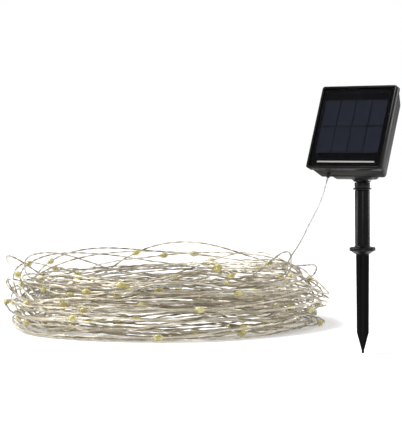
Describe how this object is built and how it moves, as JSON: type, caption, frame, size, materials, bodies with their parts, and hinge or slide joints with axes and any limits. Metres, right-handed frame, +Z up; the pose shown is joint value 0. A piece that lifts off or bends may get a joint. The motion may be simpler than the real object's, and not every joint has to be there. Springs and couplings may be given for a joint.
{
  "type": "solar string lights",
  "caption": "Solar string lights: a tilting solar head on a ground stake, with a lead wire down to a round coil of twisted wire carrying resin light drops.",
  "frame": {"origin": "tip of the ground spike, on the axis of the stake, at the level of the surface the coil lies on", "axes": "+Z up along the stake; the panel faces -Y and up; +X to the right when looking along +Y"},
  "size_m": [0.5755, 0.383, 0.2706],
  "materials": {
    "frame_plastic": "moulded black, slight gloss",
    "shell_plastic": "moulded black, fine texture",
    "panel_cover": "clear resin over the cells",
    "solar_cell": "dark blue silicon with fine lines",
    "bus_ribbon": "tinned ribbon",
    "panel_board": "black laminate",
    "seal_rubber": "soft black seal",
    "screw_steel": "zinc plated",
    "bolt_steel": "zinc plated",
    "circuit_board": "green lacquer",
    "chip_plastic": "moulded black",
    "battery_wrap": "shrink sleeve",
    "contact_metal": "nickel plated",
    "power_button": "red button",
    "mode_button": "grey button",
    "pole_plastic": "moulded black, satin",
    "spike_plastic": "moulded black, dull",
    "wire_pair": "tinned wire under clear insulation",
    "led_resin": "yellow phosphor under clear resin",
    "end_cap": "clear shrink cap"
  },
  "bodies": {
    "neck_and_string": {"neck": "pole_plastic", "swivel_ring": "pole_plastic", "lead_wire": "wire_pair", "string_coil": "wire_pair", "led_beads": "led_resin", "end_cap": "end_cap"},
    "panel_head": {"front_frame": "frame_plastic", "back_shell": "shell_plastic", "battery_door": "shell_plastic", "panel_cover": "panel_cover", "solar_cells": "solar_cell", "bus_ribbon": "bus_ribbon", "panel_board": "panel_board", "panel_seal": "seal_rubber", "casing_seal": "seal_rubber", "door_seal": "seal_rubber", "casing_screws": "screw_steel", "board_screws": "screw_steel", "door_screws": "screw_steel", "circuit_board": "circuit_board", "controller_parts": "chip_plastic", "push_switches": "chip_plastic", "battery_cell": "battery_wrap", "battery_cradle": "shell_plastic", "battery_contacts": "contact_metal", "pivot_bolt": "bolt_steel", "pivot_nut": "bolt_steel", "pivot_washers": "screw_steel", "lead_gland": "seal_rubber"},
    "power_button": {"power_button": "power_button"},
    "mode_button": {"mode_button": "mode_button"},
    "pole": {"pole_tube": "pole_plastic", "ground_spike": "spike_plastic"}
  },
  "joints": [
    {"name": "panel_tilt", "type": "hinge", "parent": "neck_and_string", "child": "panel_head", "pos_m": [0, 0, 0.18], "axis": [-1, 0, 0], "range_deg": [-20, 65], "deforming": ["lead_wire"]},
    {"name": "pole_swivel", "type": "hinge", "parent": "neck_and_string", "child": "pole", "pos_m": [0, 0, 0.15], "axis": [0, 0, 1], "continuous": true},
    {"name": "power_press", "type": "slide", "parent": "panel_head", "child": "power_button", "axis": [0, -0.9304, 0.3665], "range_m": [0, 0.0008], "stiffness_N_per_m": 800},
    {"name": "mode_press", "type": "slide", "parent": "panel_head", "child": "mode_button", "axis": [0, -0.9304, 0.3665], "range_m": [0, 0.0008], "stiffness_N_per_m": 800}
  ]
}
